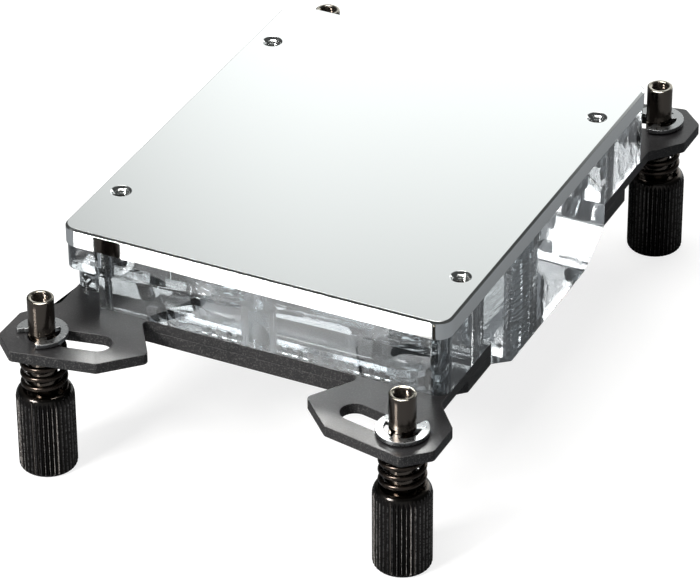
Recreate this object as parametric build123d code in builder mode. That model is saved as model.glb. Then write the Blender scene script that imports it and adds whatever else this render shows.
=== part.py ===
from build123d import *
from math import cos, pi, radians, sin
import os

# Liquid cooling cold plate, in millimetres.
# The block lies with its cold face up and stands on the heads of its four captive thumbscrews.
# The origin is on the floor under the middle, +X is the width, +Y the length and +Z up.

# Cold plate
plate_width = 78.0
plate_length = 94.0
plate_thickness = 3.7
plate_corner_radius = 3.0
plate_edge_break = 0.4

# Body screws, M3 countersunk, placed from the sides of the plate and of the brackets' bands
screw_side_margin = 4.35
screw_band_margin = 4.65
screw_diameter = 3.0
screw_clearance = 0.05
screw_recess = 1.8
screw_head_diameter = 5.5
screw_socket_across = 2.0
screw_socket_depth = 1.1
screw_head_sink = 0.15
plate_hole_chamfer = 0.45
block_hole_diameter = 3.4

# Clear block
block_inset = 0.2
block_height = 12.1
block_edge_break = 0.3
notch_width = 7.5
notch_depth = 4.4
notch_height = 7.0
notch_corner_radius = 2.0
hump_flat_length = 34.4
hump_slope_length = 9.2
hump_slope_height = 4.9

# Threaded ports in the hump, G1/4
port_spacing = 37.0
port_minor_diameter = 11.45
port_thread_diameter = 13.16

# Stepped bores in the middle of the block's ends
end_bore_inset = 6.0
end_bore_diameter = 3.4
end_bore_depth = 10.9
end_counterbore_diameter = 7.0
end_counterbore_depth = 7.0

# Water path inside
pocket_width = 54.0
pocket_length = 38.0
pocket_corner_radius = 6.0
plenum_depth = 4.0
plenum_width = 13.0
plenum_web = 2.0
jet_slot_width = 1.6
jet_slot_inset = 1.0
jet_plate_thickness = 1.0
jet_plate_clearance = 0.2
jet_plate_overlap = 0.5
fin_count = 19
fin_pitch = 2.1
fin_thickness = 1.0
fin_height = 3.0
fin_length = 32.0

# Seal ring in its groove round the pocket
seal_thickness = 1.8
seal_height = 1.6
seal_clearance = 0.1
seal_margin = 3.0

# Brackets and the layer that stiffens them
bracket_thickness = 2.2
stiffener_thickness = 2.6
bracket_gap = 0.2
stiffener_corner = 10.1
arm_corner_radius = 1.2
arm_neck_root = 1.6
arm_neck_margin = 5.0
arm_side_margin = 7.5
arm_shoulder_margin = 2.9
arm_tip_setback = 4.6
arm_tip_margin = 7.3
arm_edge_setback = 2.8
arm_edge_margin = 4.2
arm_nose_margin = 9.8
arm_nose_setback = 2.8
arm_root_margin = 3.2

# Captive thumbscrews: where they stand from the block's corner, and their slots
fastener_inset = 2.4
fastener_reach = 12.7
slot_travel = 10.6
slot_angle = 11.5
slot_clearance = 0.15
head_diameter = 11.0
head_height = 17.2
head_foot_chamfer = 0.7
knurl_teeth = 38
knurl_depth = 0.36
knurl_setback = 0.05
knurl_top = 14.8
shoulder_height = 2.0
shoulder_diameter = 8.8
post_diameter = 5.0
post_projection = 8.4
thread_minor_diameter = 2.85
thread_major_diameter = 3.5
thread_depth = 12.0

# Springs and retaining clips
spring_length = 8.8
spring_diameter = 8.9
spring_wire = 1.15
spring_turns = 4.25
spring_steps_per_turn = 10
clip_diameter = 9.8
clip_ring_width = 1.45
clip_thickness = 0.8
clip_gap = 0.3
clip_side_clearance = 0.05
clip_groove_diameter = 3.8
clip_groove_clearance = 0.06
clip_lug_width = 1.6
clip_jaw_angle = 62.0
clip_throat = 2.0
clip_mouth = 7.8
clip_tip_radius = 0.45

# The stack, from the floor up
bracket_bottom = head_height + spring_length
bracket_top = bracket_bottom + bracket_thickness
stiffener_bottom = bracket_bottom - stiffener_thickness
block_bottom = bracket_top
block_top = block_bottom + block_height
plate_top = block_top + plate_thickness
hump_bottom = stiffener_bottom - hump_slope_height
pocket_floor = block_top - fin_height - jet_plate_thickness
plenum_floor = pocket_floor - plenum_depth

# Plan sizes that follow from the ones above
block_width = plate_width - 2 * block_inset
block_length = plate_length - 2 * block_inset
block_corner_radius = plate_corner_radius
hump_length = hump_flat_length + 2 * hump_slope_length
bracket_inner_edge = hump_length / 2 + bracket_gap
screw_spacing_x = plate_width - 2 * screw_side_margin
screw_spacing_y = 2 * (bracket_inner_edge + screw_band_margin)
fastener_x = block_width / 2 - fastener_inset
fastener_y = block_length / 2 + fastener_reach
port_x = port_spacing / 2
fins_width = (fin_count - 1) * fin_pitch + fin_thickness
inlet_plenum_end = port_x - plenum_width / 2 - plenum_web
end_bore_y = block_length / 2 - end_bore_inset
seal_width = pocket_width + 2 * seal_margin
seal_length = pocket_length + 2 * seal_margin
seal_corner_radius = pocket_corner_radius + seal_margin
head_radius = head_diameter / 2
post_radius = post_diameter / 2
clip_bottom = bracket_top + clip_gap

corners = {
    "front_left": (-1, -1),
    "front_right": (1, -1),
    "rear_right": (1, 1),
    "rear_left": (-1, 1),
}
# The way each clip's open side faces, in degrees from +X
clip_openings = {"front_left": 240, "front_right": 95, "rear_right": 220, "rear_left": 120}


def upright(x, y):
    """Plane of a turned profile: its x is the radius and its y the height."""
    return Plane(origin=(x, y, 0), x_dir=(1, 0, 0), z_dir=(0, -1, 0))


def save(piece, name):
    piece.part.label = name
    export_step(piece.part, f"parts/{name}.step")


os.makedirs("parts", exist_ok=True)

# Cold plate: a flat slab with a mirror face, tapped at its corners, and fins on the wet side
with BuildPart() as cold_plate:
    with BuildSketch(Plane.XY.offset(block_top)):
        RectangleRounded(plate_width, plate_length, plate_corner_radius)
    extrude(amount=plate_thickness)
    chamfer(cold_plate.edges().group_by(Axis.Z)[-1], length=plate_edge_break)
    with Locations(Plane.XY.offset(plate_top)):
        with GridLocations(screw_spacing_x, screw_spacing_y, 2, 2):
            CounterSinkHole(
                radius=screw_diameter / 2 + screw_clearance,
                counter_sink_radius=screw_diameter / 2 + screw_clearance + plate_hole_chamfer,
                depth=plate_thickness,
                counter_sink_angle=90,
            )
    with BuildSketch(Plane.XY.offset(block_top)):
        with GridLocations(fin_pitch, 0, fin_count, 1):
            Rectangle(fin_thickness, fin_length)
    extrude(amount=-fin_height)
save(cold_plate, "cold_plate")

# Clear block: slab, notched corner and hump, then the water path and the holes
with BuildPart() as top_block:
    with BuildSketch(Plane.XY.offset(block_bottom)):
        RectangleRounded(block_width, block_length, block_corner_radius)
    extrude(amount=block_height)
    with BuildSketch(Plane.YZ.offset(-block_width / 2)):
        with BuildLine():
            Polyline(
                (-hump_length / 2, block_bottom),
                (-hump_length / 2, stiffener_bottom),
                (-hump_flat_length / 2, hump_bottom),
                (hump_flat_length / 2, hump_bottom),
                (hump_length / 2, stiffener_bottom),
                (hump_length / 2, block_bottom),
                close=True,
            )
        make_face()
    extrude(amount=block_width)
    edges_across = top_block.edges().filter_by(Axis.X)
    hump_edges = edges_across.filter_by_position(Axis.Z, hump_bottom, stiffener_bottom)
    chamfer(hump_edges, length=block_edge_break)

    # The notch leaves a rounded post corner on the left side
    with BuildSketch(Plane.XY.offset(block_bottom)):
        with Locations((-block_width / 2, -block_length / 2)):
            Rectangle(2 * notch_width, 2 * notch_depth)
            with Locations((notch_corner_radius / 2, notch_depth + notch_corner_radius / 2)):
                Rectangle(notch_corner_radius, notch_corner_radius)
            with Locations((notch_corner_radius, notch_depth + notch_corner_radius)):
                Circle(notch_corner_radius, mode=Mode.SUBTRACT)
    extrude(amount=notch_height, mode=Mode.SUBTRACT)

    # Pocket for the fins and the jet plate
    with BuildSketch(Plane.XY.offset(block_top)):
        RectangleRounded(pocket_width, pocket_length, pocket_corner_radius)
    extrude(amount=pocket_floor - block_top, mode=Mode.SUBTRACT)

    # Each plenum runs from its port: the inlet's to under the jet slot, the outlet's to the pocket's wall
    for port_side, plenum_end in ((-port_x, inlet_plenum_end), (port_x, pocket_width / 2)):
        with BuildSketch(Plane.XY.offset(pocket_floor)):
            with Locations((port_side, 0), (plenum_end - plenum_width / 2, 0)):
                Circle(plenum_width / 2)
            make_hull()
        extrude(amount=-plenum_depth, mode=Mode.SUBTRACT)
    with BuildSketch(Plane.XY.offset(hump_bottom)):
        with GridLocations(port_spacing, 0, 2, 1):
            Circle(port_minor_diameter / 2)
    extrude(amount=plenum_floor - hump_bottom, mode=Mode.SUBTRACT)
    port_rims = top_block.edges().filter_by(GeomType.CIRCLE).group_by(Axis.Z)[0]
    chamfer(port_rims, length=(port_thread_diameter - port_minor_diameter) / 2)

    # Seal groove
    with BuildSketch(Plane.XY.offset(block_top)):
        RectangleRounded(
            seal_width + seal_thickness + 2 * seal_clearance,
            seal_length + seal_thickness + 2 * seal_clearance,
            seal_corner_radius + seal_thickness / 2 + seal_clearance,
        )
        RectangleRounded(
            seal_width - seal_thickness - 2 * seal_clearance,
            seal_length - seal_thickness - 2 * seal_clearance,
            seal_corner_radius - seal_thickness / 2 - seal_clearance,
            mode=Mode.SUBTRACT,
        )
    extrude(amount=-seal_height, mode=Mode.SUBTRACT)

    # Clearance holes for the body screws, and the stepped bores at both ends
    with BuildSketch(Plane.XY.offset(block_bottom)):
        with GridLocations(screw_spacing_x, screw_spacing_y, 2, 2):
            Circle(block_hole_diameter / 2)
    extrude(amount=block_height, mode=Mode.SUBTRACT)
    for diameter, depth in (
        (end_counterbore_diameter, end_counterbore_depth),
        (end_bore_diameter, end_bore_depth),
    ):
        with BuildSketch(Plane.XY.offset(block_bottom)):
            with GridLocations(0, 2 * end_bore_y, 1, 2):
                Circle(diameter / 2)
        extrude(amount=depth, mode=Mode.SUBTRACT)
save(top_block, "top_block")

# Seal ring: a moulded band that fills its groove up to the plate
with BuildPart() as gasket:
    with BuildSketch(Plane.XY.offset(block_top - seal_height)):
        RectangleRounded(
            seal_width + seal_thickness,
            seal_length + seal_thickness,
            seal_corner_radius + seal_thickness / 2,
        )
        RectangleRounded(
            seal_width - seal_thickness,
            seal_length - seal_thickness,
            seal_corner_radius - seal_thickness / 2,
            mode=Mode.SUBTRACT,
        )
    extrude(amount=seal_height)
save(gasket, "gasket")

# Jet plate: lies on the fins, slotted across them over the inlet plenum and open beside them
jet_plate_right = fins_width / 2 + jet_plate_overlap
jet_slot_left = -fins_width / 2
jet_slot_right = inlet_plenum_end - jet_slot_inset
with BuildPart() as jet_plate:
    with BuildSketch(Plane.XY.offset(pocket_floor)):
        RectangleRounded(
            pocket_width - 2 * jet_plate_clearance,
            pocket_length - 2 * jet_plate_clearance,
            pocket_corner_radius - jet_plate_clearance,
        )
        with Locations((jet_plate_right + pocket_width / 2, 0)):
            Rectangle(pocket_width, pocket_length, mode=Mode.SUBTRACT)
        with Locations(((jet_slot_left + jet_slot_right) / 2, 0)):
            SlotOverall(jet_slot_right - jet_slot_left, jet_slot_width, mode=Mode.SUBTRACT)
    extrude(amount=jet_plate_thickness)
save(jet_plate, "jet_plate")


def make_bracket(side_y):
    """Laser-cut sheet with a band under the block and two slotted arms."""

    def from_corner(inboard, outboard):
        return (block_width / 2 - inboard, side_y * (block_length / 2 + outboard))

    slot_middle_x = fastener_x - slot_travel / 2 * cos(radians(slot_angle))
    slot_middle_y = fastener_y - slot_travel / 2 * sin(radians(slot_angle))
    slot_width = post_diameter + 2 * slot_clearance
    with BuildPart() as bracket:
        with BuildSketch(Plane.XY.offset(bracket_bottom)) as outline:
            with BuildLine():
                Polyline(
                    (0, side_y * bracket_inner_edge),
                    (block_width / 2, side_y * bracket_inner_edge),
                    from_corner(0, arm_neck_root),
                    from_corner(fastener_inset - arm_side_margin, fastener_reach - arm_neck_margin),
                    from_corner(fastener_inset - arm_side_margin, fastener_reach + arm_shoulder_margin),
                    from_corner(
                        fastener_inset - arm_side_margin + arm_tip_setback,
                        fastener_reach + arm_tip_margin,
                    ),
                    from_corner(
                        fastener_inset + slot_travel + arm_edge_setback,
                        fastener_reach + arm_edge_margin,
                    ),
                    from_corner(
                        fastener_inset + slot_travel + arm_nose_margin,
                        fastener_reach - arm_nose_setback,
                    ),
                    from_corner(fastener_inset + slot_travel + arm_root_margin, 0),
                    (0, side_y * block_length / 2),
                    close=True,
                )
            make_face()
            arm_corners = [
                corner
                for corner in outline.vertices()
                if corner.X > arm_corner_radius and abs(corner.Y) > block_length / 2 - arm_corner_radius
            ]
            fillet(arm_corners, radius=arm_corner_radius)
            mirror(about=Plane.YZ)
            for side_x in (-1, 1):
                with Locations((side_x * slot_middle_x, side_y * slot_middle_y)):
                    SlotCenterToCenter(
                        slot_travel,
                        slot_width,
                        rotation=side_x * side_y * slot_angle,
                        mode=Mode.SUBTRACT,
                    )
            with Locations((0, side_y * screw_spacing_y / 2)):
                with GridLocations(screw_spacing_x, 0, 2, 1):
                    Circle(block_hole_diameter / 2, mode=Mode.SUBTRACT)
        extrude(amount=bracket_thickness)
    return bracket


def make_stiffener(side_y):
    """Second layer under the band, cut off at 45 degrees near the arms and countersunk below."""
    outer = block_length / 2
    with BuildPart() as stiffener:
        with BuildSketch(Plane.XY.offset(stiffener_bottom)):
            with BuildLine():
                Polyline(
                    (0, side_y * bracket_inner_edge),
                    (block_width / 2, side_y * bracket_inner_edge),
                    (block_width / 2, side_y * (outer - stiffener_corner)),
                    (block_width / 2 - stiffener_corner, side_y * outer),
                    (0, side_y * outer),
                    close=True,
                )
            make_face()
            mirror(about=Plane.YZ)
        extrude(amount=stiffener_thickness)
        underside = Plane(origin=(0, side_y * screw_spacing_y / 2, stiffener_bottom), z_dir=(0, 0, -1))
        with Locations(underside):
            with GridLocations(screw_spacing_x, 0, 2, 1):
                CounterSinkHole(
                    radius=block_hole_diameter / 2,
                    counter_sink_radius=screw_head_diameter / 2 + screw_clearance + screw_head_sink,
                    depth=stiffener_thickness,
                    counter_sink_angle=90,
                )
    return stiffener


for side_name, side_y in (("front", -1), ("rear", 1)):
    save(make_bracket(side_y), f"{side_name}_bracket")
    save(make_stiffener(side_y), f"{side_name}_stiffener")


def make_body_screw(x, y):
    """Countersunk screw from under the stiffener up into the cold plate."""
    rim_radius = screw_head_diameter / 2
    shank_radius = screw_diameter / 2
    head_bottom = stiffener_bottom + screw_head_sink
    tip = plate_top - screw_recess
    with BuildPart() as body_screw:
        with BuildSketch(upright(x, y)):
            with BuildLine():
                Polyline(
                    (0, head_bottom),
                    (rim_radius, head_bottom),
                    (shank_radius, head_bottom + rim_radius - shank_radius),
                    (shank_radius, tip),
                    (0, tip),
                    close=True,
                )
            make_face()
        revolve(axis=Axis((x, y, 0), (0, 0, 1)))
        with BuildSketch(Plane(origin=(x, y, head_bottom))):
            RegularPolygon(screw_socket_across / 2, 6, major_radius=False)
        extrude(amount=screw_socket_depth, mode=Mode.SUBTRACT)
    return body_screw


def make_thumbscrew(x, y):
    """Knurled head and tapped post in one turned piece, with a groove for its clip."""
    crest_radius = head_radius - knurl_setback
    core_radius = crest_radius - 2 * knurl_depth
    groove_bottom = clip_bottom - clip_side_clearance
    groove_top = clip_bottom + clip_thickness + clip_side_clearance
    post_top = bracket_top + post_projection
    minor_radius = thread_minor_diameter / 2
    thread_chamfer = (thread_major_diameter - thread_minor_diameter) / 2
    with BuildPart() as thumbscrew:
        with BuildSketch(upright(x, y)):
            with BuildLine():
                Polyline(
                    (0, 0),
                    (head_radius - head_foot_chamfer, 0),
                    (head_radius, head_foot_chamfer),
                    (core_radius, head_foot_chamfer),
                    (core_radius, knurl_top),
                    (head_radius, knurl_top),
                    (head_radius, head_height - shoulder_height),
                    (shoulder_diameter / 2, head_height),
                    (post_radius, head_height),
                    (post_radius, groove_bottom),
                    (clip_groove_diameter / 2, groove_bottom),
                    (clip_groove_diameter / 2, groove_top),
                    (post_radius, groove_top),
                    (post_radius, post_top),
                    (minor_radius + thread_chamfer, post_top),
                    (minor_radius, post_top - thread_chamfer),
                    (minor_radius, post_top - thread_depth),
                    (0, post_top - thread_depth),
                    close=True,
                )
            make_face()
        revolve(axis=Axis((x, y, 0), (0, 0, 1)))
        with BuildSketch(Plane(origin=(x, y, head_foot_chamfer))):
            teeth = []
            for edge in range(2 * knurl_teeth):
                angle = edge * pi / knurl_teeth
                radius = crest_radius - knurl_depth * (edge % 2)
                teeth.append((radius * cos(angle), radius * sin(angle)))
            Polygon(*teeth, align=None)
        extrude(amount=knurl_top - head_foot_chamfer)
    return thumbscrew


def make_spring(x, y):
    """Wire coil between the head and the bracket, in straight steps, with its end turns ground flat."""
    coil_radius = (spring_diameter - spring_wire) / 2
    steps = round(spring_turns * spring_steps_per_turn)
    step_angle = 2 * pi / spring_steps_per_turn
    with BuildPart() as spring:
        with BuildLine() as coil:
            Polyline(
                [
                    (
                        x + coil_radius * cos(step * step_angle),
                        y + coil_radius * sin(step * step_angle),
                        head_height + spring_length * step / steps,
                    )
                    for step in range(steps + 1)
                ]
            )
        with BuildSketch(Plane(origin=coil.line @ 0, z_dir=coil.line % 0)):
            RegularPolygon(spring_wire / 2, 8)
        sweep(path=coil.line, transition=Transition.RIGHT)
        with BuildSketch(Plane(origin=(x, y, head_height))):
            Circle(spring_diameter)
        extrude(amount=spring_length, mode=Mode.INTERSECT)
    return spring


def make_clip(x, y, opening_angle):
    """Open ring with three lugs that reach into the post's groove."""
    outer_radius = clip_diameter / 2
    ring_radius = outer_radius - clip_ring_width
    bearing_radius = clip_groove_diameter / 2 + clip_groove_clearance
    facing = (cos(radians(opening_angle)), sin(radians(opening_angle)), 0)
    with BuildPart() as clip:
        with BuildSketch(Plane(origin=(x, y, clip_bottom), x_dir=facing, z_dir=(0, 0, 1))) as outline:
            Circle(outer_radius)
            Circle(ring_radius, mode=Mode.SUBTRACT)
            for lug_angle in (180, clip_jaw_angle, -clip_jaw_angle):
                with PolarLocations(outer_radius / 2, 1, start_angle=lug_angle):
                    Rectangle(outer_radius - clip_ring_width / 2, clip_lug_width)
            Circle(bearing_radius, mode=Mode.SUBTRACT)
            Polygon(
                (0, -clip_throat / 2),
                (outer_radius, -clip_mouth / 2),
                (outer_radius, clip_mouth / 2),
                (0, clip_throat / 2),
                align=None,
                mode=Mode.SUBTRACT,
            )
            fillet(outline.vertices().sort_by(Axis.X)[-2:], radius=clip_tip_radius)
        extrude(amount=clip_thickness)
    return clip


for corner_name, (side_x, side_y) in corners.items():
    screw_x, screw_y = side_x * screw_spacing_x / 2, side_y * screw_spacing_y / 2
    post_x, post_y = side_x * fastener_x, side_y * fastener_y
    save(make_body_screw(screw_x, screw_y), f"body_screw_{corner_name}")
    save(make_thumbscrew(post_x, post_y), f"thumbscrew_{corner_name}")
    save(make_spring(post_x, post_y), f"spring_{corner_name}")
    save(make_clip(post_x, post_y, clip_openings[corner_name]), f"retaining_clip_{corner_name}")
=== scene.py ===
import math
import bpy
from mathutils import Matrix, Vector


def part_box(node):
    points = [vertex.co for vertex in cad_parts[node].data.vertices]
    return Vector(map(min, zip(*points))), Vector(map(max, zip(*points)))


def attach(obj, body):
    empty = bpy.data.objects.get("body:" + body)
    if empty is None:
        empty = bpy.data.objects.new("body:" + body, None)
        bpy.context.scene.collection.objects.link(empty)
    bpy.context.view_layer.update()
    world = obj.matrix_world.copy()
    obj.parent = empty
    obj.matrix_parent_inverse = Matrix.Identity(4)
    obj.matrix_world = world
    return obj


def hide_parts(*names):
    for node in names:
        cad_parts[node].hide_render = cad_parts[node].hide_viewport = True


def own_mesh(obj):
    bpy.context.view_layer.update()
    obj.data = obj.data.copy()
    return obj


bl_info = {
    "name": "Liquid Cooling Cold Plate",
    "version": (1, 0, 0),
    "blender": (4, 5, 0),
    "location": "View3D > Sidebar > Cold Plate",
    "description": "Finishes the packed cold plate and sets it on a pale studio floor",
    "category": "Object",
}

import bmesh
import bpy
import numpy as np
from bpy.props import FloatProperty, FloatVectorProperty, IntProperty, PointerProperty
from mathutils import Matrix

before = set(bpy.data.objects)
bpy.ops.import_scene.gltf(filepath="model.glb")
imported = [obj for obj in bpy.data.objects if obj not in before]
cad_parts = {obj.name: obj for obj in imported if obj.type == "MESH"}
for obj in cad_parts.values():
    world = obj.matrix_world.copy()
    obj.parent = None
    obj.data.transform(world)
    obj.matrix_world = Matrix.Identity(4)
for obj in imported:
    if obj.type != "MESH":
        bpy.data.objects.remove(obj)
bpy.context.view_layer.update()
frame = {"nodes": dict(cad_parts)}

CORNERS = ("front_left", "front_right", "rear_right", "rear_left")
MM = 0.001
FULL_TURN = 2 * math.pi
SHARP_ANGLE = math.radians(35)

# The two ports of the clear block, in millimetres
PORT_X = 18.5
PORT_RADIUS = 5.725
PORT_TOP = 31.6


def length(name, description, default):
    return FloatProperty(name=name, description=description, default=default, min=0, unit="LENGTH", precision=5)


def colour(name, description, default):
    return FloatVectorProperty(
        name=name, description=description, default=default, subtype="COLOR", size=3, min=0, max=1
    )


def share(name, description, default):
    return FloatProperty(name=name, description=description, default=default, min=0, max=1, subtype="FACTOR")


class ThumbscrewSettings(bpy.types.PropertyGroup):
    teeth: IntProperty(name="Knurl teeth", description="Teeth round the head", default=38, min=3)
    tooth_depth: length("Tooth depth", "Depth of the knurl's grooves", 0.36 * MM)
    thread_pitch: length("Thread pitch", "Pitch of the thread in the post", 0.6 * MM)
    thread_depth: length("Thread depth", "Depth of the thread in the post", 0.3 * MM)
    plating: colour("Plating", "Colour of the black nickel", (0.15, 0.127, 0.108))
    knurl_colour: colour("Knurl", "Colour of the blackened head", (0.036, 0.033, 0.031))
    worn_crest: colour("Worn crests", "Colour of the knurl's crests where they are scraped", (0.25, 0.237, 0.225))
    worn_rim: colour("Worn rim", "Colour of the rim where the plating is worn", (0.36, 0.335, 0.29))


class SpringSettings(bpy.types.PropertyGroup):
    wire: length("Wire", "Diameter of the wire", 1.15 * MM)
    coil_radius: length("Coil radius", "Radius of the coil's centre line", 3.87 * MM)
    turns: FloatProperty(name="Turns", description="Turns of the coil", default=4.25, min=1)
    seat_gap: length("Seat gap", "Air left between the spring's ground end and the bracket", 0.02 * MM)
    travel: length("Travel", "How far the thumbscrew presses the spring", 3.6 * MM)
    colour: colour("Colour", "Colour of the blackened wire", (0.065, 0.052, 0.044))


class BlockSettings(bpy.types.PropertyGroup):
    index: FloatProperty(name="Refractive index", description="Refractive index of acrylic", default=1.49)
    tint: colour("Tint", "Colour of the clear block", (0.8, 0.85, 0.88))
    gloss_tint: colour("Gloss tint", "Tint of what the block's surface mirrors", (0.82, 0.93, 1.0))
    cloudiness: share("Cloudiness", "Part of the light that the acrylic scatters", 0.015)
    milled_roughness: share("Milled roughness", "Roughness of the machined inner walls", 0.08)
    waviness: length("Waviness", "Height of the waves that polishing leaves on the back and below", 0.12 * MM)
    port_pitch: length("Port pitch", "Pitch of the ports' thread", 1.337 * MM)
    port_depth: length("Port thread depth", "Depth of the ports' thread", 0.856 * MM)
    contact_gap: length("Contact gap", "Air left where the block lies against metal", 0.02 * MM)


class PlateSettings(bpy.types.PropertyGroup):
    nickel: colour("Nickel", "Colour of the polished nickel", (0.86, 0.875, 0.87))
    roughness: share("Roughness", "Roughness of the mirror face", 0.03)
    edge_round: length("Edge rounding", "Radius left on the plate's edges", 0.17 * MM)
    thread_pitch: length("Screw pitch", "Pitch of the body screws and their tapped holes", 0.5 * MM)
    thread_depth: length("Screw thread depth", "Depth of the body screws' thread", 0.27 * MM)
    screw_colour: colour("Screws", "Colour of the body screws", (0.3, 0.285, 0.27))


class SheetSettings(bpy.types.PropertyGroup):
    coat: colour("Coat", "Colour of the black coat", (0.013, 0.013, 0.014))
    thin_coat: colour("Thin coat", "Colour of the coat where it is thinner", (0.022, 0.021, 0.022))
    specks: colour("Specks", "Colour of the bare grains, most of them on the cut edges", (0.085, 0.082, 0.08))
    edge_round: length("Edge rounding", "Radius along the edges of the sheets", 0.12 * MM)
    clip_steel: colour("Clip steel", "Colour of the retaining clips", (0.4, 0.41, 0.415))


class StageSettings(bpy.types.PropertyGroup):
    floor_glow: share("Floor", "White that the camera sees on the floor besides its light", 0.8)
    table: colour("Table", "Colour of the polished table that the part mirrors", (0.16, 0.17, 0.182))
    key_colour: colour("Key colour", "Colour of the lamps", (1.0, 0.985, 0.965))
    key_power: FloatProperty(name="Key power", description="Power of each lamp", default=10.0, unit="POWER")
    panel: FloatProperty(name="Panel", description="Brightness of the soft panel behind the part", default=1.7)
    room: FloatProperty(name="Room", description="Brightness of the room round the part", default=0.07)


SETTINGS = {
    "cooler_thumbscrew": ThumbscrewSettings,
    "cooler_spring": SpringSettings,
    "cooler_block": BlockSettings,
    "cooler_plate": PlateSettings,
    "cooler_sheet": SheetSettings,
    "cooler_stage": StageSettings,
}


# Meshes


def mesh_piece(name, vertices, faces, smooth=True):
    """Object at the origin from arrays of vertices and faces."""
    mesh = bpy.data.meshes.new(name)
    mesh.from_pydata(np.asarray(vertices, float).tolist(), [], faces)
    mesh.update()
    work = bmesh.new()
    work.from_mesh(mesh)
    bmesh.ops.recalc_face_normals(work, faces=work.faces)
    work.to_mesh(mesh)
    work.free()
    if smooth:
        mesh.shade_smooth()
        mesh.set_sharp_from_angle(angle=SHARP_ANGLE)
    return link_object(name, mesh)


def link_object(name, data):
    """New object in the scene for a mesh, a camera or a lamp."""
    thing = bpy.data.objects.new(name, data)
    bpy.context.scene.collection.objects.link(thing)
    return thing


def grid_faces(rows, columns):
    """Quads between neighbouring rows of a grid whose columns close into rings."""
    row, column = np.meshgrid(np.arange(rows - 1), np.arange(columns), indexing="ij")
    after = (column + 1) % columns
    quads = np.stack(
        [row * columns + column, row * columns + after, (row + 1) * columns + after, (row + 1) * columns + column],
        axis=-1,
    )
    return quads.reshape(-1, 4).tolist()


def capped(rings, ends):
    """Closed shell from an array of ring by point, with a fan of triangles to one point at each end."""
    rows, columns = rings.shape[:2]
    ring = np.arange(columns)
    after = (ring + 1) % columns
    last_ring = (rows - 1) * columns
    first_end, last_end = rows * columns, rows * columns + 1
    faces = grid_faces(rows, columns)
    faces += np.stack([np.full(columns, first_end), after, ring], axis=-1).tolist()
    faces += np.stack([np.full(columns, last_end), last_ring + ring, last_ring + after], axis=-1).tolist()
    return np.concatenate([rings.reshape(-1, 3), ends]), faces


def even_angles(count):
    """Angles at even steps round a full turn."""
    return np.linspace(0, FULL_TURN, count, endpoint=False)


def turned_rings(radius, heights, angle):
    """Rings round the Z axis: x = radius * cos(angle), y = radius * sin(angle), z = height.

    radius is an array of ring by angle, and heights has one height for each ring."""
    levels = np.broadcast_to(heights[:, None], radius.shape)
    return np.stack([radius * np.cos(angle), radius * np.sin(angle), levels], axis=-1)


def turned_shell(radius, heights, angle):
    """Closed shell of turned rings, whose first and last ring run to a point on the axis."""
    return capped(turned_rings(radius, heights, angle), [[0, 0, heights[0]], [0, 0, heights[-1]]])


def along(profile, step):
    """Points at even steps on the straight runs of a profile, corners kept."""
    points = [profile[:1]]
    for a, b in zip(profile[:-1], profile[1:]):
        count = max(1, math.ceil(np.linalg.norm(b - a) / step))
        points.append(a + (b - a) * np.linspace(0, 1, count + 1)[1:, None])
    return np.concatenate(points)


def thread_wave(heights, pitch, angle):
    """Profile of a thread: a triangle wave of height over pitch less angle over a full turn, 0 at whole numbers and 1
    halfway between them."""
    turns = heights[:, None] / pitch - angle / FULL_TURN
    phase = turns - np.floor(turns)
    return 1 - np.abs(2 * phase - 1)


def joined(*shells):
    """One set of vertices and faces from several shells."""
    vertices, faces, start = [], [], 0
    for points, polygons in shells:
        vertices.append(points)
        faces += [[index + start for index in polygon] for polygon in polygons]
        start += len(points)
    return np.concatenate(vertices), faces


def add_shells(piece, vertices, faces):
    """Adds closed shells to a piece's mesh."""
    extra = mesh_piece("shells", vertices, faces)
    work = bmesh.new()
    work.from_mesh(piece.data)
    work.from_mesh(extra.data)
    work.to_mesh(piece.data)
    work.free()
    bpy.data.objects.remove(extra)


def cut_away(piece, cutter):
    """Cuts a closed cutter out of a piece and removes the cutter."""
    cut = piece.modifiers.new("Cut", "BOOLEAN")
    cut.object = cutter
    cut.solver = "EXACT"
    whole = piece.data
    graph = bpy.context.evaluated_depsgraph_get()
    piece.data = bpy.data.meshes.new_from_object(piece.evaluated_get(graph))
    piece.modifiers.clear()
    bpy.data.meshes.remove(whole)
    bpy.data.objects.remove(cutter)


def keep_flat(piece):
    """Smooth shading in which the large faces stay flat."""
    piece.data.shade_smooth()
    weighted = piece.modifiers.new("Flat faces", "WEIGHTED_NORMAL")
    weighted.weight = 100
    weighted.keep_sharp = True


def solid_copy(node, name, edge_round=0.0, segments=2):
    """Copy of a CAD node with its triangles merged and, if asked, its edges rounded."""
    weld, flat_angle = 0.002 * MM, math.radians(1.0)
    mesh = frame["nodes"][node].data.copy()
    mesh.name = name
    piece = link_object(name, mesh)
    work = bmesh.new()
    work.from_mesh(mesh)
    bmesh.ops.remove_doubles(work, verts=work.verts, dist=weld)
    bmesh.ops.dissolve_limit(
        work, angle_limit=flat_angle, use_dissolve_boundaries=False, verts=work.verts, edges=work.edges
    )
    work.to_mesh(mesh)
    work.free()
    if edge_round:
        bevel = piece.modifiers.new("Edges", "BEVEL")
        bevel.width = edge_round
        bevel.segments = segments
        bevel.limit_method = "ANGLE"
        bevel.angle_limit = SHARP_ANGLE
        keep_flat(piece)
    return piece


def write_attribute(piece, name, domain, values):
    attribute = piece.data.attributes.new(name, "FLOAT", domain)
    attribute.data.foreach_set("value", values.astype(np.float32))


def centre_of(node):
    """Middle of a CAD node's box, seen from above."""
    low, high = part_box(node)
    return (low.x + high.x) / 2, (low.y + high.y) / 2


def placed(points, x, y):
    """Points in millimetres round the Z axis, brought to metres and moved to x and y."""
    return points * MM + [x, y, 0]


def dress(piece, material):
    """Leaves a piece with one finish."""
    piece.data.materials.clear()
    piece.data.materials.append(material)


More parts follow.
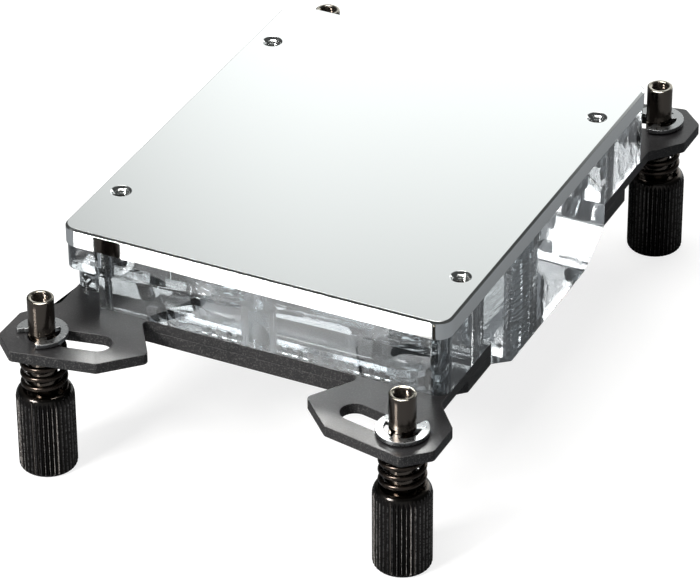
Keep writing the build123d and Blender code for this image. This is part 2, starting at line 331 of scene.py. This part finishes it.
def settle(piece, body, slot, material, *nodes):
    """Gives a new piece its finish and its body, and hides the CAD nodes that it stands for."""
    dress(piece, material)
    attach(piece, body)
    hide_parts(*nodes)


# Materials


def new_material(name):
    """Material with its nodes, its links and its shader."""
    material = bpy.data.materials.new(name)
    material.use_nodes = True
    nodes, links = material.node_tree.nodes, material.node_tree.links
    return material, nodes, links, nodes["Principled BSDF"]


def feed(links, socket, value):
    """Links an output to a socket, or sets a plain number or colour on it."""
    if isinstance(value, bpy.types.NodeSocket):
        links.new(value, socket)
    elif socket.type == "RGBA":
        socket.default_value = (*value, 1)
    else:
        socket.default_value = value


def feed_all(links, node, values):
    for name, value in values.items():
        feed(links, node.inputs[name], value)


def object_noise(nodes, links, scale, detail, stretch=(1, 1, 1)):
    """Noise texture on Object coordinates, with its own stretch along each axis."""
    coordinates = nodes.new("ShaderNodeTexCoord").outputs["Object"]
    mapping = nodes.new("ShaderNodeMapping")
    feed_all(links, mapping, {"Vector": coordinates, "Scale": stretch})
    noise = nodes.new("ShaderNodeTexNoise")
    feed_all(links, noise, {"Vector": mapping.outputs["Vector"], "Scale": scale, "Detail": detail})
    return noise.outputs["Fac"]


def attribute_of(nodes, name):
    node = nodes.new("ShaderNodeAttribute")
    node.attribute_name = name
    return node.outputs["Fac"]


def axis_of(nodes, links, source, axis):
    """One coordinate of the Object position or of the surface normal."""
    split = nodes.new("ShaderNodeSeparateXYZ")
    if source == "position":
        links.new(nodes.new("ShaderNodeTexCoord").outputs["Object"], split.inputs["Vector"])
    else:
        links.new(nodes.new("ShaderNodeNewGeometry").outputs["True Normal"], split.inputs["Vector"])
    return split.outputs[axis]


def calculate(nodes, links, operation, *values):
    """Math node on outputs or plain numbers."""
    node = nodes.new("ShaderNodeMath")
    node.operation = operation
    for socket, value in zip(node.inputs, values):
        feed(links, socket, value)
    return node.outputs[0]


def ramp(nodes, links, value, low, high, out_low, out_high, kind="LINEAR"):
    """Maps low..high to out_low..out_high and holds the ends."""
    node = nodes.new("ShaderNodeMapRange")
    node.interpolation_type = kind
    limits = {"From Min": low, "From Max": high, "To Min": out_low, "To Max": out_high}
    feed_all(links, node, {"Value": value, **limits})
    return node.outputs["Result"]


def wander(nodes, links, noise, low, high):
    """Value between low and high that follows a noise, whose own values lie mostly between 0.3 and 0.7."""
    return ramp(nodes, links, noise, 0.3, 0.7, low, high)


def blend(nodes, links, factor, first, second, kind="RGBA"):
    """Mixes two colours, or with kind FLOAT two numbers, each of them an output or a plain value."""
    node = nodes.new("ShaderNodeMix")
    node.data_type = kind
    feed_all(links, node, {"Factor": factor, "A": first, "B": second})
    return node.outputs["Result"]


def bump(nodes, links, shader, height, distance, strength=1.0):
    """Bumps a shader's normal; strength may be an output."""
    node = nodes.new("ShaderNodeBump")
    feed_all(links, node, {"Height": height, "Distance": distance, "Strength": strength})
    links.new(node.outputs["Normal"], shader.inputs["Normal"])


def plain_material(name, base, metallic, smoothest, roughest, grain_scale):
    """One colour all over, with a fine grain in its roughness."""
    material, nodes, links, shader = new_material(name)
    rough = wander(nodes, links, object_noise(nodes, links, grain_scale, 3), smoothest, roughest)
    feed_all(links, shader, {"Base Color": base, "Metallic": metallic, "Roughness": rough})
    return material


def mirror_nickel(settings):
    """Polished nickel: lapping leaves its roughness a little uneven."""
    material, nodes, links, shader = new_material("mirror_nickel")
    least, most = settings.roughness * 0.7, settings.roughness * 1.3
    rough = wander(nodes, links, object_noise(nodes, links, 900, 2, (1, 0.08, 1)), least, most)
    feed_all(links, shader, {"Base Color": settings.nickel, "Metallic": 1, "Roughness": rough})
    return material


def black_nickel(settings):
    """Black nickel: blackened on the knurled head and scraped on its crests, brighter on the post, worn on its rim."""
    material, nodes, links, shader = new_material("black_nickel")
    head_end, post_start = 16.8 * MM, 17.3 * MM
    wear_start, wear_full = 36.42 * MM, 36.5 * MM
    height = axis_of(nodes, links, "position", "Z")
    grain = object_noise(nodes, links, 2400, 4)
    on_post = ramp(nodes, links, height, head_end, post_start, 0, 1)
    at_rim = ramp(nodes, links, height, wear_start, wear_full, 0, 1)
    patchy = ramp(nodes, links, grain, 0.38, 0.62, 0, 1)
    scraped = calculate(nodes, links, "MULTIPLY", attribute_of(nodes, "crest"), patchy)
    head = blend(nodes, links, scraped, settings.knurl_colour, settings.worn_crest)
    plated = blend(nodes, links, on_post, head, settings.plating)
    worn = blend(nodes, links, at_rim, plated, settings.worn_rim)
    rough = wander(nodes, links, grain, 0.1, 0.2)
    feed_all(links, shader, {"Base Color": worn, "Metallic": 1, "Roughness": rough})
    bump(nodes, links, shader, grain, 0.014 * MM)
    return material


def black_coat(settings):
    """Satin black coat: smooth on the sheet's faces, grainy with bare specks on the cut edges."""
    material, nodes, links, shader = new_material("black_coat")
    facing = calculate(nodes, links, "ABSOLUTE", axis_of(nodes, links, "normal", "Z"))
    on_face = ramp(nodes, links, facing, 0.5, 0.8, 0, 1)
    grain = object_noise(nodes, links, 3200, 4)
    clouds = object_noise(nodes, links, 60, 4)
    thin = ramp(nodes, links, clouds, 0.35, 0.65, 0, 1)
    coat = blend(nodes, links, thin, settings.coat, settings.thin_coat)
    bare = ramp(nodes, links, grain, 0.52, 0.66, 0, 1)
    rarer_on_face = ramp(nodes, links, on_face, 0, 1, 1, 0.22)
    specks = calculate(nodes, links, "MULTIPLY", bare, rarer_on_face)
    edge_rough = wander(nodes, links, grain, 0.42, 0.7)
    face_rough = wander(nodes, links, clouds, 0.28, 0.42)
    rough = blend(nodes, links, on_face, edge_rough, face_rough, "FLOAT")
    feed_all(links, shader, {"Base Color": blend(nodes, links, specks, coat, settings.specks), "Roughness": rough})
    bump(nodes, links, shader, grain, 0.12 * MM, ramp(nodes, links, on_face, 0, 1, 1.0, 0.2))
    return material


def clear_acrylic(settings):
    """Smoky clear acrylic with a gloss coat, milled inside; faintly wavy in front, more so at the back and below."""
    material, nodes, links, shader = new_material("clear_acrylic")
    feed_all(
        links,
        shader,
        {
            "Base Color": settings.tint,
            "Transmission Weight": 1 - settings.cloudiness,
            "IOR": settings.index,
            "Specular Tint": settings.gloss_tint,
            "Coat Weight": 1,
            "Roughness": ramp(nodes, links, attribute_of(nodes, "milled"), 0, 1, 0, settings.milled_roughness),
        },
    )
    back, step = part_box("top_block")[1].y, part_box("front_stiffener")[0].z
    depth = axis_of(nodes, links, "position", "Y")
    height = axis_of(nodes, links, "position", "Z")
    at_back = ramp(nodes, links, depth, back - 0.4 * MM, back - 0.1 * MM, 0.05, 1)
    below = ramp(nodes, links, height, step - 0.5 * MM, step, 0.5, 0)
    strength = calculate(nodes, links, "MAXIMUM", at_back, below)
    bump(nodes, links, shader, object_noise(nodes, links, 240, 2), settings.waviness, strength)
    return material


# Pieces


def knurled_head(settings):
    """Closed shell in millimetres: the radius is the lesser of the turned profile and the knurl, which falls from each
    crest by the root of phase squared plus a small rounding, as far as the groove's floor."""
    crest, rounding, floor_phase = 5.49, 0.055, 0.4
    knurled_from = 4.9
    phase = np.array([-0.5, -0.42, -0.3, -0.17, -0.08, -0.035, 0, 0.035, 0.08, 0.17, 0.3, 0.42])
    angle = ((np.arange(settings.teeth)[:, None] + phase) * FULL_TURN / settings.teeth).ravel()
    groove = np.clip((np.hypot(phase, rounding) - rounding) / (floor_phase - rounding), 0, 1)
    knurl = np.tile(crest - settings.tooth_depth / MM * groove, settings.teeth)
    shoulder = np.linspace(0, math.pi / 2, 16)
    profile = np.concatenate(
        [
            [[0.6, 0.0], [4.7, 0.0], [4.95, 0.04], [5.16, 0.16], [5.33, 0.33], [5.45, 0.55], [5.5, 0.8], [5.5, 15.0]],
            np.stack([4.15 + 1.35 * np.cos(shoulder), 15.0 + 2.2 * np.sin(shoulder)], axis=-1)[1:],
            [[0.6, 17.2]],
        ]
    )
    turned, heights = along(profile, step=1.6).T
    turned = turned[:, None]
    radius = np.minimum(turned, np.where(turned > knurled_from, knurl, np.inf))
    return turned_shell(radius, heights, angle)


def threaded_post(settings):
    """Closed shell in millimetres: a turned profile with the clip's groove, and a bore whose radius grows by thread
    depth times the thread's wave."""
    bore_radius, bore_rows = 1.45, 120
    outside = along(
        np.array(
            [
                [0.5, 16.9], [2.5, 16.9], [2.5, 28.42], [2.42, 28.45], [1.9, 28.45], [1.9, 29.35], [2.42, 29.35],
                [2.5, 29.4], [2.5, 36.38], [2.47, 36.5], [2.36, 36.58], [2.25, 36.6], [1.86, 36.6], [1.74, 36.55],
                [1.5, 36.3],
            ]
        ),
        step=1.2,
    )
    bore = np.stack([np.full(bore_rows, bore_radius), np.linspace(36.2, 28.0, bore_rows)], axis=-1)
    bottom = np.array([[1.43, 27.9], [1.43, 24.7], [0.3, 24.6]])
    plain, heights = np.concatenate([outside, bore, bottom]).T
    threaded = np.repeat([0, 1, 0], [len(outside), len(bore), len(bottom)])
    angle = even_angles(72)
    wave = thread_wave(heights, settings.thread_pitch / MM, angle)
    return turned_shell(plain[:, None] + settings.thread_depth / MM * threaded[:, None] * wave, heights, angle)


def body_screw_shell(settings, bottom, tip):
    """Closed shell in millimetres: the socket's radius is its half width over the cosine of the angle from the nearest
    flat, the head is a cone, and the shank's radius falls from its crest by thread depth times the thread's wave."""
    socket_half_width, socket_depth, socket_point = 1.0, 1.1, 0.4
    shank_radius, shank_rows = 1.5, 140
    angle = even_angles(48)
    flats = socket_half_width / np.cos((angle + math.pi / 6) % (math.pi / 3) - math.pi / 6)
    head = np.array([[2.62, bottom], [2.75, bottom + 0.08], [1.6, bottom + 1.15]])
    shank = np.stack([np.full(shank_rows, shank_radius), np.linspace(bottom + 1.3, tip - 0.45, shank_rows)], axis=-1)
    end = np.array([[1.18, tip - 0.3], [0.95, tip], [0.3, tip]])
    plain, heights = np.concatenate([head, shank, end]).T
    threaded = np.repeat([0, 1, 0], [len(head), len(shank), len(end)])
    groove = 1 - thread_wave(heights, settings.thread_pitch / MM, angle)
    radius = plain[:, None] - settings.thread_depth / MM * threaded[:, None] * groove
    radius = np.concatenate([socket_point * flats[None], flats[None], flats[None], radius])
    heights = np.concatenate([[bottom + socket_depth, bottom + socket_depth, bottom], heights])
    return turned_shell(radius, heights, angle)


def threaded_sleeve(pitch, depth, inner, outer, bottom, top):
    """Ring in millimetres that lines a tapped hole: its inner radius falls by depth times the thread's wave, which
    fades out at both ends, and its outer radius is plain."""
    least_rings, rings_per_pitch, fade_pitches = 8, 12, 0.3
    angle = even_angles(48)
    heights = np.linspace(bottom, top, max(least_rings, math.ceil((top - bottom) / pitch * rings_per_pitch)))
    fade = np.clip(np.minimum(heights - bottom, top - heights) / (fade_pitches * pitch), 0, 1)[:, None]
    inside = inner - depth * fade * thread_wave(heights, pitch, angle)
    radius = np.concatenate([inside, np.full((2, angle.size), outer), inside[:1]])
    levels = np.concatenate([heights, [top, bottom], heights[:1]])
    points = turned_rings(radius, levels, angle).reshape(-1, 3)
    # The last ring is the first once more, so its faces use the first ring's points
    count = len(points) - angle.size
    faces = [[index % count for index in face] for face in grid_faces(len(radius), angle.size)]
    return points[:count], faces


def threaded_plug(pitch, depth, radius, bottom, top):
    """Closed cutter in millimetres: its radius grows by depth times the thread's wave, which fades out before the
    plain ends."""
    plain_end, rings_per_pitch, fade_pitches = 0.1, 10, 0.5
    angle = even_angles(64)
    heights = np.linspace(bottom, top, math.ceil((top - bottom) / pitch * rings_per_pitch))
    from_end = np.minimum(heights - bottom - plain_end, top - plain_end - heights)
    fade = np.clip(from_end / (fade_pitches * pitch), 0, 1)[:, None]
    return turned_shell(radius + depth * fade * thread_wave(heights, pitch, angle), heights, angle)


def spring_surface(settings, axis_x, axis_y, bottom, top):
    """Round wire on a helix: the centre line turns at coil radius and climbs evenly from bottom to top, a circle of
    the wire's radius rides square to it, and heights past the ends are cut flat, as by grinding."""
    steps_per_turn, wire_sides = 64, 18
    wire, coil = settings.wire / 2, settings.coil_radius
    turn = np.linspace(0, FULL_TURN * settings.turns, int(settings.turns * steps_per_turn))
    climb = (top - bottom) / turn[-1]
    centre = np.stack([coil * np.cos(turn), coil * np.sin(turn), bottom + climb * turn], axis=-1)
    outward = np.stack([np.cos(turn), np.sin(turn), np.zeros_like(turn)], axis=-1)
    forward = np.stack([-coil * np.sin(turn), coil * np.cos(turn), np.full_like(turn, climb)], axis=-1)
    forward /= np.linalg.norm(forward, axis=1, keepdims=True)
    upward = np.cross(forward, outward)
    around = even_angles(wire_sides)[None, :, None]
    points = centre[:, None] + wire * np.cos(around) * outward[:, None] + wire * np.sin(around) * upward[:, None]
    points[..., 2] = np.clip(points[..., 2], bottom, top)
    vertices, faces = capped(points, [points[0].mean(0), points[-1].mean(0)])
    return vertices + [axis_x, axis_y, 0], faces


def mark_crests(piece, shells):
    """Point attribute that is 1 on the knurl's crests and falls to 0 a little below them."""
    worn_from, worn_over, knurl_end = 5.3, 0.15, 15.4
    x, y, z = shells.T
    worn = np.clip((np.hypot(x, y) - worn_from) / worn_over, 0, 1) * (z < knurl_end)
    write_attribute(piece, "crest", "POINT", worn)


class COOLER_OT_thumbscrews(bpy.types.Operator):
    """Make the four knurled thumbscrews with their threaded posts"""

    bl_idname = "cooler.thumbscrews"
    bl_label = "Thumbscrews"

    def execute(self, context):
        settings = context.scene.cooler_thumbscrew
        finish = black_nickel(settings)
        shells, faces = joined(knurled_head(settings), threaded_post(settings))
        for corner in CORNERS:
            node = f"thumbscrew_{corner}"
            piece = mesh_piece(f"knurled_screw_{corner}", placed(shells, *centre_of(node)), faces)
            mark_crests(piece, shells)
            settle(piece, f"screw_{corner}", "black_nickel", finish, node)
        return {"FINISHED"}


class COOLER_OT_springs(bpy.types.Operator):
    """Wind the four springs over the height of the CAD springs"""

    bl_idname = "cooler.springs"
    bl_label = "Springs"

    def execute(self, context):
        settings = context.scene.cooler_spring
        finish = plain_material("blackened_wire", settings.colour, 1, 0.16, 0.3, 1800)
        for corner in CORNERS:
            low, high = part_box(f"spring_{corner}")
            axis_x, axis_y = centre_of(f"thumbscrew_{corner}")
            points, faces = spring_surface(settings, axis_x, axis_y, low.z, high.z - settings.seat_gap)
            piece = mesh_piece(f"wound_spring_{corner}", points, faces)
            settle(piece, f"carriage_{corner}", "black_nickel", finish, f"spring_{corner}")
            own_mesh(piece)
        return {"FINISHED"}


class COOLER_OT_clips(bpy.types.Operator):
    """Round the edges of the four retaining clips"""

    bl_idname = "cooler.clips"
    bl_label = "Retaining clips"

    def execute(self, context):
        settings = context.scene.cooler_sheet
        finish = plain_material("clip_steel", settings.clip_steel, 1, 0.24, 0.36, 1500)
        edge_round = 0.14 * MM
        for corner in CORNERS:
            piece = solid_copy(f"retaining_clip_{corner}", f"clip_{corner}_steel", edge_round, 3)
            settle(piece, f"clip_{corner}", "bright_steel", finish, f"retaining_clip_{corner}")
        return {"FINISHED"}


class COOLER_OT_brackets(bpy.types.Operator):
    """Coat the brackets and their stiffeners and take the sharpness off their edges"""

    bl_idname = "cooler.brackets"
    bl_label = "Brackets"

    def execute(self, context):
        settings = context.scene.cooler_sheet
        finish = black_coat(settings)
        for node in ("front_bracket", "rear_bracket", "front_stiffener", "rear_stiffener"):
            piece = solid_copy(node, f"{node}_coated", settings.edge_round)
            settle(piece, "block", "black_sheet", finish, node)
        return {"FINISHED"}


class COOLER_OT_plate(bpy.types.Operator):
    """Polish the nickel of the cold plate and tap its four holes"""

    bl_idname = "cooler.plate"
    bl_label = "Cold plate"

    def execute(self, context):
        settings = context.scene.cooler_plate
        piece = solid_copy("cold_plate", "mirror_plate", settings.edge_round, 3)
        pitch, depth = settings.thread_pitch / MM, settings.thread_depth / MM
        crest_radius, root_radius = 1.52, 1.62
        below_face, over_screw = 0.5, 0.1
        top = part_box("cold_plate")[1].z / MM - below_face
        for corner in CORNERS:
            node = f"body_screw_{corner}"
            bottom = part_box(node)[1].z / MM - over_screw
            points, faces = threaded_sleeve(pitch, depth, crest_radius, root_radius, bottom, top)
            add_shells(piece, placed(points, *centre_of(node)), faces)
        settle(piece, "block", "mirror_nickel", mirror_nickel(settings), "cold_plate")
        return {"FINISHED"}


def draw_in(piece, level, shift):
    """Moves a piece's flat face at one height by a hair, so that air lies between it and the metal."""
    near = 0.005 * MM
    points = np.empty(len(piece.data.vertices) * 3)
    piece.data.vertices.foreach_get("co", points)
    heights = points[2::3]
    heights[np.abs(heights - level) < near] += shift
    piece.data.vertices.foreach_set("co", points)
    piece.data.update()


def mark_milled(piece):
    """Face attribute that is 1 on the walls of the pocket, the ports and the bores, and 0 outside."""
    outer_wall, face_depth, port_edge = 3.1, 0.1, 1
    centres = np.empty(len(piece.data.polygons) * 3)
    piece.data.polygons.foreach_get("center", centres)
    x, y, z = (centres.reshape(-1, 3) / MM).T
    high = np.array(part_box("top_block")[1]) / MM
    outside = (np.abs(x) > high[0] - outer_wall) | (np.abs(y) > high[1] - outer_wall)
    beside_ports = np.hypot(np.abs(x) - PORT_X, y) > PORT_RADIUS + port_edge
    flat_below = (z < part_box("front_bracket")[1].z / MM + face_depth) & beside_ports
    flat_above = z > high[2] - face_depth
    write_attribute(piece, "milled", "FACE", ~(outside | flat_below | flat_above))


class COOLER_OT_block(bpy.types.Operator):
    """Polish the clear block, tap its ports and part it from the metal by a hair of air"""

    bl_idname = "cooler.block"
    bl_label = "Clear block"

    def execute(self, context):
        settings = context.scene.cooler_block
        ridge_angle = math.radians(33)
        piece = solid_copy("top_block", "clear_block")
        low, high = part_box("top_block")
        gap = settings.contact_gap
        draw_in(piece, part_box("front_bracket")[1].z, gap)
        for level in (high.z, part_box("gasket")[0].z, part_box("jet_plate")[0].z):
            draw_in(piece, level, -gap)
        pitch, depth = settings.port_pitch / MM, settings.port_depth / MM
        inside_bore, thread_start = PORT_RADIUS - 0.03, low.z / MM + 0.4
        points, faces = threaded_plug(pitch, depth, inside_bore, thread_start, PORT_TOP)
        for side in (-1, 1):
            cut_away(piece, mesh_piece("port_thread", placed(points, side * PORT_X * MM, 0), faces))
        mark_milled(piece)
        keep_flat(piece)
        piece.data.set_sharp_from_angle(angle=ridge_angle)
        settle(piece, "block", "clear_acrylic", clear_acrylic(settings), "top_block")
        return {"FINISHED"}


class COOLER_OT_inner_parts(bpy.types.Operator):
    """Finish the seal and the jet plate and cut the body screws' threads"""

    bl_idname = "cooler.inner_parts"
    bl_label = "Inner parts"

    def execute(self, context):
        nodes = frame["nodes"]
        dress(nodes["gasket"], plain_material("black_rubber", (0.02, 0.02, 0.021), 0, 0.4, 0.6, 700))
        dress(nodes["jet_plate"], plain_material("satin_steel", (0.6, 0.61, 0.62), 1, 0.224, 0.336, 900))
        settings = context.scene.cooler_plate
        finish = plain_material("screw_steel", settings.screw_colour, 1, 0.2, 0.3, 1400)
        for corner in CORNERS:
            node = f"body_screw_{corner}"
            low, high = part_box(node)
            points, faces = body_screw_shell(settings, low.z / MM, high.z / MM)
            piece = mesh_piece(f"threaded_screw_{corner}", placed(points, *centre_of(node)), faces)
            settle(piece, "block", "black_nickel", finish, node)
        return {"FINISHED"}


# Stage


def make_camera(scene):
    """Camera at the photograph's viewpoint: rows of the rotation are right, up and back."""
    image_width, focal_length, shift = 700, 4223.235, 1.37  # all in pixels of the photograph
    data = bpy.data.cameras.new("camera")
    data.sensor_width = 36
    data.lens = focal_length / image_width * data.sensor_width
    data.shift_x = shift / image_width
    data.clip_start = 0.05
    data.clip_end = 20
    place = (0.297039, -0.614813, 0.452173)
    right = (0.90026, 0.435316, -0.005713)
    up = (-0.231188, 0.489149, 0.841003)
    back = (0.368896, -0.7558, 0.541001)
    camera = link_object("camera", data)
    camera.matrix_world = Matrix.Translation(place) @ Matrix((right, up, back)).transposed().to_4x4()
    scene.camera = camera


def make_floor(settings):
    """Wide plane under the part: white with a soft shadow to the camera, and a polished table in reflections."""
    half = 6.0
    points = [(-half, -half, 0), (half, -half, 0), (half, half, 0), (-half, half, 0)]
    floor = mesh_piece("floor", points, [(0, 1, 2, 3)], smooth=False)
    material, nodes, links, shader = new_material("studio_floor")
    feed_all(
        links,
        shader,
        {
            "Base Color": (0.3, 0.3, 0.3),
            "Roughness": 0.9,
            "Specular IOR Level": 0.0,
            "Emission Color": (1, 1, 1),
            "Emission Strength": settings.floor_glow,
        },
    )
    table = nodes.new("ShaderNodeBsdfPrincipled")
    feed_all(links, table, {"Base Color": settings.table, "Roughness": 0.1, "Specular IOR Level": 0.35})
    surface = nodes.new("ShaderNodeMixShader")
    to_camera = nodes.new("ShaderNodeLightPath").outputs["Is Camera Ray"]
    for socket, output in zip(surface.inputs, (to_camera, table.outputs[0], shader.outputs[0])):
        links.new(output, socket)
    links.new(surface.outputs[0], nodes["Material Output"].inputs["Surface"])
    floor.data.materials.append(material)


def panel_light(nodes, links, azimuth, elevation, sides, heights, strength):
    """Soft-edged panel in the studio: sides are the azimuths where it starts, is full, is full and ends, and heights
    are the elevations where it is full and ends, all in degrees."""
    starts, full_from, full_to, ends, full_below, over = (math.radians(value) for value in (*sides, *heights))
    right = ramp(nodes, links, azimuth, starts, full_from, 0, 1, "SMOOTHSTEP")
    left = ramp(nodes, links, azimuth, full_to, ends, 1, 0, "SMOOTHSTEP")
    upper = ramp(nodes, links, elevation, full_below, over, strength, 0, "SMOOTHSTEP")
    return calculate(nodes, links, "MULTIPLY", calculate(nodes, links, "MULTIPLY", right, left), upper)


def make_world(scene, settings):
    """Dim room with a soft panel behind the part and a fainter one before it, all of it white to the camera."""
    world = bpy.data.worlds.new("studio")
    world.use_nodes = True
    nodes, links = world.node_tree.nodes, world.node_tree.links
    split = nodes.new("ShaderNodeSeparateXYZ")
    links.new(nodes.new("ShaderNodeTexCoord").outputs["Generated"], split.inputs["Vector"])
    elevation = calculate(nodes, links, "ARCSINE", split.outputs["Z"])
    azimuth = calculate(nodes, links, "ARCTAN2", split.outputs["Y"], split.outputs["X"])
    light = settings.room
    front_share = 0.2
    for sides, heights, strength in (
        ((56, 63, 116, 128), (22, 42), settings.panel),
        ((-175, -140, -45, -15), (25, 50), settings.panel * front_share),
    ):
        panel = panel_light(nodes, links, azimuth, elevation, sides, heights, strength)
        light = calculate(nodes, links, "ADD", panel, light)
    to_camera = nodes.new("ShaderNodeLightPath").outputs["Is Camera Ray"]
    white = blend(nodes, links, to_camera, light, 1.0, "FLOAT")
    feed_all(links, nodes["Background"], {"Color": (0.975, 1, 0.995), "Strength": white})
    scene.world = world


def make_lights(settings):
    """Square lamps round the part, each turned to face it; angles in degrees, distance and size in metres."""
    middle = (0, 0, 0.03)
    for name, azimuth, elevation, distance, size in (("key", 244, 34, 0.9, 0.26), ("top", 150, 80, 1.0, 0.6)):
        data = bpy.data.lights.new(name, "AREA")
        data.shape = "SQUARE"
        data.size = size
        data.energy = settings.key_power
        data.color = settings.key_colour
        lamp = link_object(name, data)
        lamp.matrix_world = (
            Matrix.Translation(middle)
            @ Matrix.Rotation(math.radians(azimuth + 90), 4, "Z")
            @ Matrix.Rotation(math.radians(90 - elevation), 4, "X")
            @ Matrix.Translation((0, 0, distance))
        )
        lamp.visible_camera = False


class COOLER_OT_stage(bpy.types.Operator):
    """Set the camera, the pale floor and the soft studio light"""

    bl_idname = "cooler.stage"
    bl_label = "Stage"

    def execute(self, context):
        settings = context.scene.cooler_stage
        make_camera(context.scene)
        make_floor(settings)
        make_world(context.scene, settings)
        make_lights(settings)
        context.scene.view_settings.view_transform = "Standard"
        return {"FINISHED"}


OPERATORS = (
    COOLER_OT_plate,
    COOLER_OT_block,
    COOLER_OT_inner_parts,
    COOLER_OT_brackets,
    COOLER_OT_clips,
    COOLER_OT_springs,
    COOLER_OT_thumbscrews,
    COOLER_OT_stage,
)


class COOLER_PT_panel(bpy.types.Panel):
    """Lists the pieces of the cold plate and their settings"""

    bl_idname = "COOLER_PT_panel"
    bl_label = "Cold Plate"
    bl_space_type = "VIEW_3D"
    bl_region_type = "UI"
    bl_category = "Cold Plate"

    def draw(self, context):
        for name, group in SETTINGS.items():
            box = self.layout.box()
            box.label(text=name.replace("cooler_", "").capitalize())
            for field in group.__annotations__:
                box.prop(getattr(context.scene, name), field)
        for operator in OPERATORS:
            self.layout.operator(operator.bl_idname)


def register():
    for name, group in SETTINGS.items():
        bpy.utils.register_class(group)
        setattr(bpy.types.Scene, name, PointerProperty(type=group))
    for operator in OPERATORS:
        bpy.utils.register_class(operator)
    bpy.utils.register_class(COOLER_PT_panel)


def unregister():
    bpy.utils.unregister_class(COOLER_PT_panel)
    for operator in reversed(OPERATORS):
        bpy.utils.unregister_class(operator)
    for name, group in SETTINGS.items():
        delattr(bpy.types.Scene, name)
        bpy.utils.unregister_class(group)


def main():
    register()
    bpy.ops.cooler.plate()
    bpy.ops.cooler.block()
    bpy.ops.cooler.inner_parts()
    bpy.ops.cooler.brackets()
    bpy.ops.cooler.clips()
    bpy.ops.cooler.springs()
    bpy.ops.cooler.thumbscrews()
    bpy.ops.cooler.stage()


if __name__ == "__main__":
    main()
